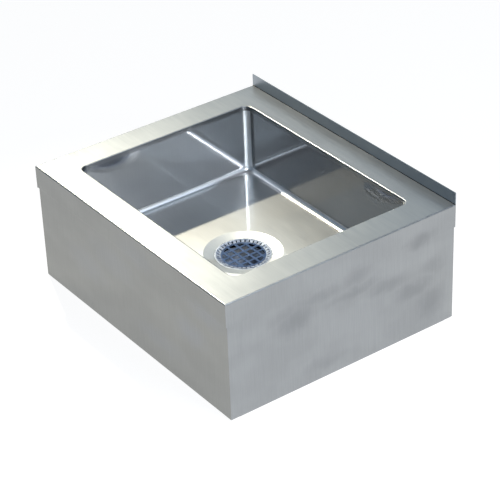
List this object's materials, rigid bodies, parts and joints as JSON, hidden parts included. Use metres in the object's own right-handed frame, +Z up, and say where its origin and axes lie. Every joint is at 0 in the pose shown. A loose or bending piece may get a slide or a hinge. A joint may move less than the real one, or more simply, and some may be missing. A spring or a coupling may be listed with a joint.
{
  "type": "mop service sink",
  "caption": "Low floor-standing steel mop sink with one square bowl, skirt panels, a small rear splash and a dished drain with a lift-out basket.",
  "frame": {"origin": "on the floor under the middle of the sink, on the drain's axis", "axes": "+X to the right along the front, +Y to the wall behind, +Z up"},
  "size_m": [0.635, 0.5334, 0.2794],
  "materials": {
    "deck_steel": "brushed",
    "bowl_steel": "polished",
    "skirt_steel": "brushed",
    "drain_steel": "polished",
    "grid_steel": "polished",
    "galvanised_steel": "galvanised",
    "drain_brass": "cast",
    "seal_rubber": "matte",
    "damping_rubber": "matte",
    "fibre": "matte",
    "washer_plastic": "matte"
  },
  "bodies": {
    "cabinet": {"deck_top": "deck_steel", "sink_bowl": "bowl_steel", "front_skirt": "skirt_steel", "rear_skirt": "skirt_steel", "left_skirt": "skirt_steel", "right_skirt": "skirt_steel", "corner_post_fl": "galvanised_steel", "corner_post_fr": "galvanised_steel", "corner_post_bl": "galvanised_steel", "corner_post_br": "galvanised_steel", "anchor_plate_fl": "galvanised_steel", "anchor_plate_fr": "galvanised_steel", "anchor_plate_bl": "galvanised_steel", "anchor_plate_br": "galvanised_steel", "support_channel_front": "galvanised_steel", "support_channel_rear": "galvanised_steel", "damping_pad_left": "damping_rubber", "damping_pad_right": "damping_rubber", "damping_pad_front": "damping_rubber", "damping_pad_rear": "damping_rubber", "strainer_body": "drain_steel", "flange_gasket": "seal_rubber", "lower_gasket": "seal_rubber", "friction_ring": "fibre", "lock_nut": "drain_brass", "tail_washer": "washer_plastic", "coupling_nut": "drain_brass", "tailpiece": "drain_brass"},
    "basket": {"basket_rim": "drain_steel", "basket_grid": "grid_steel"}
  },
  "joints": [
    {"name": "basket_lift", "type": "slide", "parent": "cabinet", "child": "basket", "axis": [0, 0, 1], "range_m": [0, 0.2]}
  ]
}
